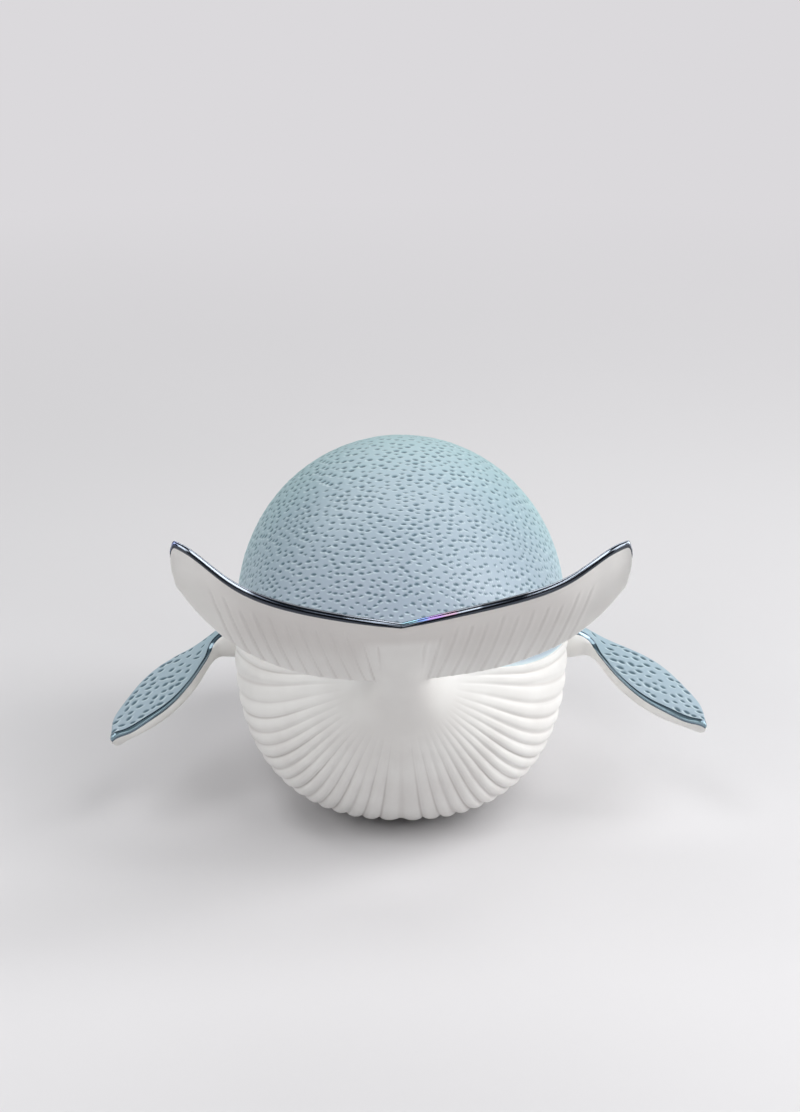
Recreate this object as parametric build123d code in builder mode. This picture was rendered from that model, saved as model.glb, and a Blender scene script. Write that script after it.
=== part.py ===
from build123d import *

import os
from math import cos, radians, sin

# A whale figurine of slip-cast porcelain, in millimetres: a blue back, a ribbed white belly,
# a raised tail fluke, two pectoral fins and two small eyes, all fixed to each other.
# +Z is up, the nose points to -Y and the tail to +Y. The origin is the middle of the flat foot,
# on the plane that the figurine rests on.

# Body: nose to the end of the tail stock, widest rib valleys, resting plane to crown
body_length = 187.0
body_width = 124.0
body_height = 126.0
wall = 3.2
rib_count = 34
rib_height = 0.9
foot_cut = 2.0
vent_diameter = 7.0
vent_offset = 13.0

# Tail fluke: tip to tip, its thickness where it meets the stock and at the rim
fluke_span = 153.0
fluke_root = 8.0
fluke_rim = 3.0
tenon_diameter = 8.0
tenon_length = 12.0

# Pectoral fins and eyes
fin_length = 69.0
fin_thickness = 7.0
fin_neck = 13.0
eye_diameter = 5.0
eye_rise = 1.4
eye_depth = 1.8

# The gap round whatever sits in a socket, and how far a cut runs past what it cuts
fit_clearance = 0.15
overrun = 5.0

# The body's stations from the nose to the end of the tail stock. Each has its place as a share
# of body_length, the height of its axis, its rise and its drop as shares of body_height, its
# half width as a share of body_width and its ribs as a share of rib_height.
station_shares = [
    (0.000, 0.462, 0.024, 0.022, 0.022, 0.0),
    (0.013, 0.468, 0.143, 0.135, 0.137, 0.0),
    (0.053, 0.476, 0.282, 0.262, 0.278, 0.3),
    (0.123, 0.488, 0.393, 0.385, 0.391, 0.8),
    (0.230, 0.496, 0.478, 0.484, 0.479, 1.0),
    (0.369, 0.496, 0.498, 0.512, 0.508, 1.0),
    (0.513, 0.488, 0.490, 0.502, 0.498, 1.0),
    (0.652, 0.488, 0.460, 0.484, 0.480, 1.0),
    (0.759, 0.496, 0.403, 0.433, 0.430, 0.95),
    (0.840, 0.516, 0.325, 0.337, 0.345, 0.65),
    (0.898, 0.552, 0.226, 0.210, 0.230, 0.12),
    (0.933, 0.587, 0.150, 0.133, 0.150, 0.0),
    (0.963, 0.627, 0.105, 0.092, 0.101, 0.0),
    (1.000, 0.690, 0.078, 0.072, 0.072, 0.0),
]
# How far each station leans towards the nose, and the angle of the colour line on it
station_leans = [0, 0, 0, 0, 0, 0, 0, 0, 3, 8, 18, 29, 38, 46]
line_angles = [-8, -6, -5, -4, -4, -3, -0.5, 4.5, 7.5, 9.5, 11, 9, 7, 5]
# The stations that the hollow runs through, with its distance inside the body in walls
hollow_station_shares = {2: 2.2, 3: 1.3, 4: 1.1, 5: 1.0, 6: 1.0, 7: 1.05, 8: 1.3, 9: 1.7, 10: 2.1, 11: 2.1}
hollow_sides = 24

# The foot's middle as a share of body_length, the keel's fullness (1 is an ellipse, less is
# fuller), how much of a rib stands proud of the colour line, how far the crown's section runs
# on below that line, and where along it the section is drawn through
origin_share = 0.455
keel_fullness_share = 0.84
rib_lap_share = 0.15
back_lap_angle = 14.0
crown_shares = (0.0, 0.1, 0.25, 0.5, 0.75, 0.9, 1.0)

# One half of the fluke from the middle to the tip: place as a share of half the span, then the
# leading and the trailing edge behind and above the end of the stock, as shares of the same,
# and the root and rim thicknesses as shares of fluke_root and fluke_rim.
fluke_shares = [
    (0.000, 0.016, -0.110, 0.410, 0.310, 1.00, 1.0),
    (0.080, 0.017, -0.108, 0.424, 0.332, 0.97, 1.0),
    (0.250, 0.027, -0.087, 0.426, 0.369, 0.82, 1.0),
    (0.415, 0.046, -0.050, 0.418, 0.405, 0.72, 1.0),
    (0.580, 0.074, 0.018, 0.400, 0.448, 0.66, 1.0),
    (0.750, 0.113, 0.128, 0.366, 0.522, 0.60, 1.0),
    (0.855, 0.143, 0.234, 0.326, 0.592, 0.55, 1.0),
    (0.925, 0.166, 0.340, 0.300, 0.637, 0.48, 0.9),
    (0.970, 0.184, 0.442, 0.279, 0.655, 0.38, 0.7),
    (1.000, 0.214, 0.566, 0.243, 0.618, 0.20, 0.4),
]
# How much lower the left half hangs midway than the evened shape, and how much higher the right
# half, as a share of half the span
blade_sag_share = 0.016
# Across the blade, from the leading edge along the underside to the rim and back over the top:
# place along the chord, and height as shares of the thickness there and of the hollowing
blade_section_shares = [
    (0.00, 0.50, 0.0),
    (0.05, 0.08, 0.1),
    (0.35, 0.00, 1.0),
    (0.70, 0.00, 0.9),
    (0.97, 0.00, 0.1),
    (1.00, 0.50, 0.0),
    (0.97, 1.00, 0.1),
    (0.70, 1.00, 0.9),
    (0.35, 1.00, 1.0),
    (0.05, 0.92, 0.1),
]
blade_hollowing_share = 0.05
# The neck that joins stock and blade: distance from the stock's end, half width, rise and drop
# as shares of the stock's half width, then how far each of its sections leans towards the nose
neck_shares = [(0.0, 0.97, 1.06, 0.98), (1.0, 1.12, 0.60, 0.72), (2.0, 1.0, 0.02, 0.22)]
neck_leans = [46, 49, 51]
ring_angles = range(0, 360, 45)
socket_angles = range(0, 360, 15)

# The fins: place of the root as shares of body_length, body_width and body_height, then the leaf
# from root to tip with its place, leading edge, trailing edge and thickness. All but the last
# are shares of fin_length, and the thickness is a share of fin_thickness.
fin_root_shares = (0.476, 0.500, 0.470)
leaf_shares = [
    (0.180, -0.098, 0.004, 1.02),
    (0.340, -0.113, 0.070, 1.06),
    (0.500, -0.119, 0.132, 1.01),
    (0.650, -0.088, 0.163, 0.96),
    (0.790, -0.036, 0.162, 0.92),
    (0.910, 0.029, 0.148, 0.79),
    (0.985, 0.106, 0.128, 0.60),
]
# How far a fin's round neck stands out and how far it lies below the leaf, as shares of fin_neck,
# then the sweep, the droop and the pitch of each fin, as they were set on by hand
neck_reach_share = 0.25
neck_drop_share = 0.27
fin_angles = {"left": (40.0, 18.7, 10.0), "right": (34.0, 15.0, 16.0)}
# Across a fin, from the rim over the top to the front edge and back along the underside: place
# along the chord and height as a share of the thickness
leaf_section_shares = [
    (1.00, -0.10),
    (0.94, 0.03),
    (0.50, 0.08),
    (0.05, 0.01),
    (0.00, -0.20),
    (0.20, -0.72),
    (0.58, -0.98),
    (0.96, -0.80),
    (1.05, -0.44),
]

# The eyes: their station, their angle above the side, and their rim's rounding over eye_rise
eye_station = 3
eye_angle = 8.0
eye_rounding_share = 0.9

nose_y = -origin_share * body_length
last = len(station_shares) - 1
stations = range(last + 1)


def axis_point(station):
    along, height = station_shares[station][:2]
    return Vector(0, nose_y + along * body_length, height * body_height)


def leaning_plane(origin, lean):
    """A plane across the body that leans towards the nose as it rises."""
    normal = Vector(0, -cos(radians(lean)), -sin(radians(lean)))
    return Plane(origin=origin, x_dir=(1, 0, 0), z_dir=normal)


def station_plane(station):
    return leaning_plane(axis_point(station), station_leans[station])


def outline(station, angle, inset=0.0, keel_inset=0.0):
    """A point of the smooth body in its station plane, at an angle above its side."""
    rise, drop, half_width = station_shares[station][2:5]
    side, up = cos(radians(angle)), sin(radians(angle))
    reach = half_width * body_width - inset
    if up >= 0:
        return Vector(side * reach, up * (rise * body_height - inset))
    fuller_side = (1 if side > 0 else -1) * abs(side) ** keel_fullness_share
    fuller_drop = abs(up) ** keel_fullness_share
    return Vector(fuller_side * reach, -fuller_drop * (drop * body_height - inset - keel_inset))


def closed_spline(plane, points):
    with BuildSketch(plane) as section:
        with BuildLine():
            Spline(points, periodic=True)
        make_face()
    return section.sketch.faces()[0]


def ring(plane, half_width, rise, drop):
    """An egg-shaped section, used where the tail and the fins start as round necks."""
    points = []
    for angle in ring_angles:
        up = sin(radians(angle))
        points.append(Vector(half_width * cos(radians(angle)), up * (rise if up > 0 else drop)))
    return closed_spline(plane, points)


def belly_section(station):
    """Ribs as shallow arcs from just above one colour line, round the keel, to the other."""
    line_angle = line_angles[station]
    start = line_angle + rib_lap_share * (180 + 2 * line_angle) / rib_count
    step = (180 + 2 * start) / rib_count
    height = rib_height * station_shares[station][5]
    valleys = [outline(station, start - rib * step) for rib in range(rib_count + 1)]
    with BuildSketch(station_plane(station)) as section:
        with BuildLine():
            for rib in range(rib_count):
                crest = outline(station, start - (rib + 0.5) * step)
                crest += crest.normalized() * height
                ThreePointArc(valleys[rib], crest, valleys[rib + 1])
            Line(valleys[-1], valleys[0])
        make_face()
    return section.sketch.faces()[0]


def back_section(station):
    """The smooth crown from below one colour line, over the back, to the other."""
    start = line_angles[station] - back_lap_angle
    span = 180 - 2 * start
    points = [outline(station, start + share * span) for share in crown_shares]
    with BuildSketch(station_plane(station)) as section:
        with BuildLine():
            Spline(points)
            Line(points[-1], points[0])
        make_face()
    return section.sketch.faces()[0]


def hollow_section(station, walls):
    inset = walls * wall
    angles = [360 * (side + 0.5) / hollow_sides for side in range(hollow_sides)]
    points = [outline(station, angle, inset, foot_cut) for angle in angles]
    with BuildSketch(station_plane(station)) as section:
        with BuildLine():
            Polyline(points, close=True)
        make_face()
    return section.sketch.faces()[0]


def line_point(station):
    """The colour line's place at one station, as seen from the side."""
    height = outline(station, line_angles[station]).Y
    point = station_plane(station).from_local_coords(Vector(0, height))
    return Vector(point.Y, point.Z)


# The space above the colour line, which parts the back from the belly
with BuildPart() as above_line:
    line_points = [line_point(station) for station in stations]
    line_front = line_points[0] - Vector(overrun, 0)
    line_rear = line_points[-1] + (line_points[-1] - line_points[-2]).normalized() * overrun
    clear_height = body_height + overrun
    with BuildSketch(Plane.YZ) as line_profile:
        with BuildLine():
            Spline([line_front, *line_points, line_rear])
            Polyline(line_rear, (line_rear.X, clear_height), (line_front.X, clear_height), line_front)
        make_face()
    extrude(amount=body_width, both=True)

# The hollow that casting leaves inside both shells
with BuildPart() as hollow:
    loft([hollow_section(station, walls) for station, walls in hollow_station_shares.items()], ruled=True)

# The end of the tail stock, where the fluke is let in
stock_end = station_plane(last)
stock_half_width = station_shares[last][4] * body_width

# The space that the fluke leaves for the stock, which it reaches round
with BuildPart() as stock_socket:
    socket_sections = []
    for station in stations[-3:]:
        points = [outline(station, angle, -fit_clearance) for angle in socket_angles]
        socket_sections.append(closed_spline(station_plane(station), points))
    loft(socket_sections)

with BuildPart() as tenon_bore:
    with BuildSketch(stock_end):
        Circle(tenon_diameter / 2 + fit_clearance)
    extrude(amount=tenon_length + fit_clearance)
    with BuildSketch(stock_end):
        Circle(tenon_diameter / 2 + fit_clearance)
    extrude(amount=-overrun)


def leaf_section(root, axis, chord_axis, row):
    """A fin cut across at one place along its length."""
    place, front, rear, thickness = row
    plane = Plane(root + axis * (place * fin_length), x_dir=chord_axis, z_dir=axis if axis.X > 0 else -axis)
    chord = (rear - front) * fin_length
    points = []
    for along, height in leaf_section_shares:
        points.append(Vector(front * fin_length + along * chord, height * thickness * fin_thickness))
    return closed_spline(plane, points)


def pectoral_fin(side, sweep, droop, pitch):
    """A leaf-shaped fin, swept back and drooping, whose round neck passes through the wall."""
    along, across, height = fin_root_shares
    root = Vector(side * across * body_width, nose_y + along * body_length, height * body_height)
    outward = Vector(side * cos(radians(sweep)), sin(radians(sweep)), 0)
    axis = outward * cos(radians(droop)) - Vector(0, 0, sin(radians(droop)))
    rearward = Vector(-side * sin(radians(sweep)), cos(radians(sweep)), 0)
    chord_axis = rearward * cos(radians(pitch)) - Vector(0, 0, sin(radians(pitch)))
    chord_axis = (chord_axis - axis * axis.dot(chord_axis)).normalized()
    radius = fin_neck / 2
    sections = []
    for reach in (-wall, neck_reach_share * fin_neck):
        middle = root + Vector(side * reach, 0, -neck_drop_share * fin_neck)
        neck_plane = Plane(middle, x_dir=(0, 1, 0), z_dir=(1, 0, 0))
        sections.append(ring(neck_plane, radius, radius, radius))
    sections += [leaf_section(root, axis, chord_axis, row) for row in leaf_shares]
    with BuildPart() as fin:
        loft(sections)
    return fin


pectoral_fin_left = pectoral_fin(1, *fin_angles["left"])
pectoral_fin_right = pectoral_fin(-1, *fin_angles["right"])


def eye_plane(side):
    """A plane that lies on the side of the head and faces straight out of it."""
    point = station_plane(eye_station).from_local_coords(outline(eye_station, eye_angle))
    before, after = station_shares[eye_station - 1], station_shares[eye_station + 1]
    taper = (after[4] - before[4]) * body_width / ((after[0] - before[0]) * body_length)
    outward = Vector(side * cos(radians(eye_angle)), -taper, sin(radians(eye_angle)))
    return Plane((side * point.X, point.Y, point.Z), z_dir=outward)


with BuildPart() as eye_sockets:
    for side in (1, -1):
        with BuildSketch(eye_plane(side).offset(-eye_depth)):
            Circle(eye_diameter / 2 + fit_clearance)
        extrude(amount=eye_depth + overrun)

with BuildPart() as back_shell:
    loft([back_section(station) for station in stations])
    add(above_line.part, mode=Mode.INTERSECT)
    for cut in (hollow, tenon_bore, pectoral_fin_left, pectoral_fin_right, eye_sockets):
        add(cut.part, mode=Mode.SUBTRACT)

with BuildPart() as belly_shell:
    loft([belly_section(station) for station in stations])
    for cut in (above_line, hollow, tenon_bore, pectoral_fin_left, pectoral_fin_right):
        add(cut.part, mode=Mode.SUBTRACT)
    with BuildSketch(Plane.XY):
        Rectangle(body_width, body_length)
    extrude(amount=-body_height, mode=Mode.SUBTRACT)
    with BuildSketch(Plane.XY):
        with Locations((0, vent_offset)):
            Circle(vent_diameter / 2)
    extrude(amount=foot_cut + wall + overrun, mode=Mode.SUBTRACT)


def blade_section(side, place, lead_back, lead_up, rim_back, rim_up, root_share, rim_share):
    """The fluke cut from front to back at one place along its span."""
    half_span = fluke_span / 2
    sag = side * blade_sag_share * sin(radians(180 * place))
    origin = stock_end.origin + Vector(side * place, lead_back, lead_up - sag) * half_span
    chord = Vector(0, rim_back - lead_back, rim_up - lead_up) * half_span
    plane = Plane(origin=origin, x_dir=chord, z_dir=(1, 0, 0))
    front, rim = root_share * fluke_root, rim_share * fluke_rim
    points = []
    for along, height, hollowing in blade_section_shares:
        thickness = front + (rim - front) * along
        rise = height * thickness + hollowing * blade_hollowing_share * chord.length
        points.append(Vector(along * chord.length, rise))
    return closed_spline(plane, points)


with BuildPart() as tail_fluke:
    for side in (1, -1):
        loft([blade_section(side, *row) for row in fluke_shares])
    neck_sections = []
    for row, lean in zip(neck_shares, neck_leans):
        distance, half_width, rise, drop = [share * stock_half_width for share in row]
        middle = stock_end.origin - stock_end.z_dir * distance
        neck_sections.append(ring(leaning_plane(middle, lean), half_width, rise, drop))
    loft(neck_sections)
    add(stock_socket.part, mode=Mode.SUBTRACT)
    with BuildSketch(stock_end):
        Circle(tenon_diameter / 2)
    extrude(amount=tenon_length)


def eye(side):
    """A round bead let into the side of the head, with a softened rim."""
    with BuildPart() as bead:
        with BuildSketch(eye_plane(side).offset(-eye_depth)):
            Circle(eye_diameter / 2)
        extrude(amount=eye_depth + eye_rise)
        outer_face = bead.faces().sort_by(Axis((0, 0, 0), eye_plane(side).z_dir))[-1]
        fillet(outer_face.edges(), eye_rise * eye_rounding_share)
    return bead


os.makedirs("parts", exist_ok=True)
pieces = {
    "back_shell": back_shell,
    "belly_shell": belly_shell,
    "tail_fluke": tail_fluke,
    "pectoral_fin_left": pectoral_fin_left,
    "pectoral_fin_right": pectoral_fin_right,
    "eye_left": eye(1),
    "eye_right": eye(-1),
}
for name, piece in pieces.items():
    piece.part.label = name
    export_step(piece.part, f"parts/{name}.step")
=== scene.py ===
import math

import bmesh
import bpy
import numpy as np
from mathutils import Matrix, Quaternion, Vector
from mathutils.bvhtree import BVHTree


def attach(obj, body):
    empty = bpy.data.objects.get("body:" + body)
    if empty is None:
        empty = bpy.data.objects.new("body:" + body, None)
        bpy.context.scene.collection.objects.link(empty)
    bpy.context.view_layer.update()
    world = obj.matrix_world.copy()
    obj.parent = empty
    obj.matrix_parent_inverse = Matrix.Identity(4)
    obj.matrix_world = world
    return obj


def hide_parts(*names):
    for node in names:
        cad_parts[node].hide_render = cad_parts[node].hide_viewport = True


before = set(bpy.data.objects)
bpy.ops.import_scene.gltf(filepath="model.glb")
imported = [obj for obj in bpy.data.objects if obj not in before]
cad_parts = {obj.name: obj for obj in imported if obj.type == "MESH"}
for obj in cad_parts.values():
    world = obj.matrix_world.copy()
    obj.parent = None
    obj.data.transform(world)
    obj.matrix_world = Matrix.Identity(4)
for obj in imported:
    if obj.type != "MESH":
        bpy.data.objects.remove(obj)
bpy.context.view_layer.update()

mm = 0.001
print("frame loaded:", len(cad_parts), "pieces")


# Curves and meshes

def smoothThrough(knots, values, at):
    # a cubic spline through every value, straight at both ends
    knots, values, at = (np.asarray(a, float) for a in (knots, values, at))
    count, flat = len(knots), values.reshape(len(knots), -1)
    gap = np.diff(knots)
    slope = np.diff(flat, axis=0) / gap[:, None]
    system, right = np.eye(count), np.zeros_like(flat)
    for i in range(1, count - 1):
        system[i, i - 1:i + 2] = gap[i - 1], 2 * (gap[i - 1] + gap[i]), gap[i]
        right[i] = 6 * (slope[i] - slope[i - 1])
    bend = np.linalg.solve(system, right)
    k = np.clip(np.searchsorted(knots, at, side="right") - 1, 0, count - 2)
    t, h = (at - knots[k])[:, None], gap[k][:, None]
    steep = slope[k] - h * (2 * bend[k] + bend[k + 1]) / 6
    result = flat[k] + t * steep + t * t * bend[k] / 2 + t ** 3 * (bend[k + 1] - bend[k]) / (6 * h)
    return result.reshape((len(at),) + values.shape[1:])


def smoothStep(low, high, value):
    t = np.clip((value - low) / (high - low), 0, 1)
    return t * t * (3 - 2 * t)


def unit(vectors):
    return vectors / np.maximum(np.linalg.norm(vectors, axis=-1, keepdims=True), 1e-12)


def ringKnots(rings):
    # how far apart the rings are, on average round them
    steps = np.linalg.norm(np.diff(rings, axis=0), axis=-1).mean(1)
    return np.concatenate([[0], np.cumsum(steps)])


def gridNormals(grid, centres):
    # outward from the ring centres
    along, around = np.gradient(grid, axis=0), np.gradient(grid, axis=1)
    normals = unit(np.cross(along, around))
    outward = np.sign(np.sum(normals * (grid - centres), -1, keepdims=True))
    return normals * np.where(outward == 0, 1, outward)


def meshNormals(points, faces):
    corners = points[faces]
    normals = np.zeros_like(points)
    area = np.cross(corners[:, 2] - corners[:, 0], corners[:, 3] - corners[:, 1])
    for k in range(4):
        np.add.at(normals, faces[:, k], area)
    return unit(normals)


def ringFaces(rows, columns):
    # quads between closed rings
    i, j = np.meshgrid(np.arange(rows - 1), np.arange(columns), indexing="ij")
    after = (j + 1) % columns
    quads = [i * columns + j, (i + 1) * columns + j, (i + 1) * columns + after, i * columns + after]
    return np.stack(quads, -1).reshape(-1, 4)


def loftedShell(rings):
    # rings joined into a closed shell, with a fan of triangles at each end
    rows, columns = rings.shape[:2]
    ends = np.stack([rings[0].mean(0), rings[-1].mean(0)])
    points = np.concatenate([rings.reshape(-1, 3), ends])
    faces = ringFaces(rows, columns).tolist()
    first, last = len(points) - 2, len(points) - 1
    for j in range(columns):
        after = (j + 1) % columns
        faces.append([first, j, after])
        faces.append([last, (rows - 1) * columns + after, (rows - 1) * columns + j])
    return points, faces


maskReach = 3.0                  # the paint masks count no further than this many millimetres


def makePiece(name, points, faces, masks, material, *nodes, slot, normals=None):
    # a mesh that stands for its CAD nodes and carries its paint masks point by point: "stain" and
    # "metal" say how many millimetres inside that paint's outline the point lies, below 0 outside
    mesh = bpy.data.meshes.new(name)
    mesh.from_pydata(points.tolist(), [], faces if isinstance(faces, list) else faces.tolist())
    for maskName, values in masks.items():
        layer = mesh.attributes.new(maskName, "FLOAT", "POINT")
        layer.data.foreach_set("value", np.clip(values, -maskReach, maskReach).astype(np.float32))
    shell = bmesh.new()
    shell.from_mesh(mesh)
    bmesh.ops.recalc_face_normals(shell, faces=shell.faces)
    shell.to_mesh(mesh)
    shell.free()
    mesh.polygons.foreach_set("use_smooth", [True] * len(mesh.polygons))
    if normals is not None:
        mesh.normals_split_custom_set_from_vertices(normals.tolist())
    mesh.materials.append(material)
    piece = bpy.data.objects.new(name, mesh)
    bpy.context.scene.collection.objects.link(piece)
    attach(piece, "root")
    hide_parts(*nodes)
    return piece


# Materials

def hexColour(code):
    channels = [int(code[i:i + 2], 16) / 255 for i in (1, 3, 5)]
    return [c / 12.92 if c <= 0.04045 else ((c + 0.055) / 1.055) ** 2.4 for c in channels] + [1.0]


def addNode(tree, kind, inputs=(), output=0, **settings):
    # adds a node and gives one of its outputs: its inputs are the first ones in a row, or by name
    node = tree.nodes.new(kind)
    for key, value in settings.items():
        setattr(node, key, value)
    for key, value in inputs.items() if isinstance(inputs, dict) else enumerate(inputs):
        if isinstance(value, bpy.types.NodeSocket):
            tree.links.new(value, node.inputs[key])
        else:
            node.inputs[key].default_value = value
    return node.outputs[output] if node.outputs else None


def newMaterial(name):
    material = bpy.data.materials.new(name)
    material.use_nodes = True
    material.node_tree.nodes.clear()
    return material, material.node_tree


def layCoats(tree, colour, coats):
    # coats over one another: each has the value that brings it, where that starts and is full, how
    # thick the coat is at both if not 0 and 1, and its colour
    for reach, coat in coats:
        coat = hexColour(coat) if isinstance(coat, str) else coat
        share = addNode(tree, "ShaderNodeMapRange", reach)
        # sockets 6 and 7 are the two colours of a colour mix, and output 2 is its colour
        colour = addNode(tree, "ShaderNodeMix", {0: share, 6: colour, 7: coat}, 2, data_type="RGBA")
    return colour


porcelain = {
    "bisque": "#ECEBE8",         # unglazed white body, a breath warm
    "bisqueShade": "#E4E2DF",    # where the fired skin is a little drier
    "valley": "#C9C4C0",         # painted shade in the rib valleys, the vent, the grooves and the fluke's hollow underside
    "mint": "#AECFD1",           # the stain at the head, thin and greenish
    "sky": "#A3BAC5",
    "lavender": "#A3B0BE",       # the same stain towards the tail, heavier
    "poolAndShade": "#4C6875",           # stain that ran into a pit, with painted shade on its side towards the crown
    "wipedAndLipHighlight": "#D0DFE3",         # a painted highlight on a pit's lower lip, and the stain wiped thin near the colour line
    "toSky": (-45 * mm, 25 * mm),        # where along the body one tone gives way to the next
    "toLavender": (20 * mm, 95 * mm),
    "cloud": 22 * mm,            # how wide the brushed coats drift in tone
    "carried": 30 * mm,          # and how far that carries the tones along the body
    "border": 0.25,              # millimetres over which the stain fades out, each side of its edge
    "grain": 0.35 * mm,          # tooth of the fired surface, as coarse as it shows
    "tooth": 0.03 * mm,          # its height
    "roughness": (0.40, 0.52),   # of the tooth's hollows and tops
    "ior": 1.5,
}
lustre = {
    "edge": "#26303D",           # where the film ran thick along its lower edge
    "tealEdge": "#465A6C",       # the same on the fins, where the brush left less of it
    "navy": "#A3ADBC",           # over most of the line, nearly black where nothing shines in it
    "ink": "#343E4E",            # where it ran thick over the whole line
    "cyan": "#9AD6EA",
    "blue": "#6F93DE",
    "slate": "#8391BE",
    "violet": "#A67CCB",
    "rose": "#BC97B4",
    "teal": "#86A2AE",           # the thinner film on the fins
    "wander": 6 * mm,            # how far the film's colours drift along the line
    "border": 0.12,
    "roughness": 0.12,
    "coatRoughness": 0.06,
}


def stainedPorcelain(name, film, edge, thin, metallic):
    # bisque porcelain, partly stained blue and partly brushed with a metallic lustre: matt, slightly grainy,
    # darker where the stain ran into the pits, with painted shade and painted highlights in its colours, and
    # mirror-like only on the lustre line
    material, tree = newMaterial(name)
    place = addNode(tree, "ShaderNodeTexCoord", output="Object")
    stain, pit, insideLine = (addNode(tree, "ShaderNodeAttribute", output="Fac", attribute_name=mask)
                              for mask in ("stain", "pit", "metal"))
    metal = addNode(tree, "ShaderNodeMapRange", (insideLine, -lustre["border"], lustre["border"]))
    cloud, grain = (addNode(tree, "ShaderNodeTexNoise",
                            {"Vector": place, "Scale": 1 / porcelain[size], "Detail": detail}, "Fac")
                    for size, detail in (("cloud", 3.0), ("grain", 2.0)))

    # white body, with painted shade greying the valleys, the vent, the grooves and the fluke's hollow
    # underside
    white = layCoats(tree, hexColour(porcelain["bisque"]),
                     [((cloud, 0.35, 0.65), porcelain["bisqueShade"]), ((pit, 0, 1), porcelain["valley"])])

    # blue stain, from mint at the head to lavender at the tail, drifting with the brush
    lengthwise = addNode(tree, "ShaderNodeSeparateXYZ", [place], "Y")
    drift = addNode(tree, "ShaderNodeMath", (cloud, porcelain["carried"]), operation="MULTIPLY")
    along = addNode(tree, "ShaderNodeMath", (lengthwise, drift))
    blue = layCoats(tree, hexColour(porcelain["mint"]),
                    [((along, *porcelain["toSky"]), porcelain["sky"]),
                     ((along, *porcelain["toLavender"]), porcelain["lavender"]),
                     # paler on the pits' lower lips, a painted highlight, and darker inside, stain that ran
                     # in with painted shade
                     ((pit, -0.1, -1.0, 0.0, 0.9), porcelain["wipedAndLipHighlight"]),
                     ((pit, 0.08, 0.75, 0.0, 0.95), porcelain["poolAndShade"])])
    painted = layCoats(tree, white, [((stain, -porcelain["border"], porcelain["border"]), blue)])

    # lustre: a dark film that turns to other colours where it is thinner
    drift = addNode(tree, "ShaderNodeMapRange", (cloud, 0, 1, -lustre["wander"], lustre["wander"]))
    across = addNode(tree, "ShaderNodeSeparateXYZ", [place], "X")
    across = addNode(tree, "ShaderNodeMath", (across, drift))
    turns = [((across, (0.4 * before + 0.6 * start) * mm, start * mm), lustre[tint])
             for (before, _), (start, tint) in zip(film, film[1:])]
    slick = layCoats(tree, hexColour(lustre[film[0][1]]), turns)
    slick = layCoats(tree, hexColour(lustre[edge]), [((insideLine, *thin), slick)])
    colour = layCoats(tree, painted, [((metal, 0, 1), slick)])

    roughness = addNode(tree, "ShaderNodeMapRange", (grain, 0.3, 0.7, *porcelain["roughness"]))
    roughness = addNode(tree, "ShaderNodeMix", {0: metal, 2: roughness, 3: lustre["roughness"]})
    bump = addNode(tree, "ShaderNodeBump",
                   {"Height": grain, "Strength": 0.25, "Distance": porcelain["tooth"]})
    shader = addNode(tree, "ShaderNodeBsdfPrincipled",
                     {"Base Color": colour, "Roughness": roughness, "IOR": porcelain["ior"], "Normal": bump,
                      "Metallic": addNode(tree, "ShaderNodeMapRange", (metal, 0, 1, 0, metallic)),
                      "Coat Weight": metal, "Coat Roughness": lustre["coatRoughness"]})
    addNode(tree, "ShaderNodeOutputMaterial", [shader])
    return material


# where along X, in millimetres, the fluke's film turns to which colour
flukeFilm = [(-90, "navy"), (-46, "navy"), (-41, "ink"), (-29, "ink"), (-25, "navy"), (-20, "navy"),
             (-16, "rose"), (-12.5, "violet"), (-8.5, "blue"), (-4.5, "cyan"), (1, "navy"), (14, "navy"),
             (19, "ink"), (45, "ink"), (50, "navy"), (70, "navy"), (75, "slate")]
bisqueAndStain = stainedPorcelain("bisque_and_blue_stain", flukeFilm, "edge", thin=(1.2, 2.3), metallic=0.93)
bisqueAndTeal = stainedPorcelain("bisque_and_teal_lustre", [(-200, "teal"), (-100, "teal")], "tealEdge",
                                 thin=(0.2, 1.2), metallic=0.62)


glaze = {"dark": "#0C0F16", "bluish": "#1A2230", "ripple": 1.5 * mm, "roughness": 0.08, "ior": 1.5}


def glossyGlaze():
    # a drop of dark glaze, fired glossy: the only wet-looking spot on the head
    material, tree = newMaterial("dark_eye_glaze")
    place = addNode(tree, "ShaderNodeTexCoord", output="Object")
    ripple = addNode(tree, "ShaderNodeTexNoise", {"Vector": place, "Scale": 1 / glaze["ripple"]}, "Fac")
    colour = layCoats(tree, hexColour(glaze["dark"]), [((ripple, 0, 1), glaze["bluish"])])
    shader = addNode(tree, "ShaderNodeBsdfPrincipled",
                     {"Base Color": colour, "Roughness": glaze["roughness"], "IOR": glaze["ior"]})
    addNode(tree, "ShaderNodeOutputMaterial", [shader])
    return material


# Body

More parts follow.
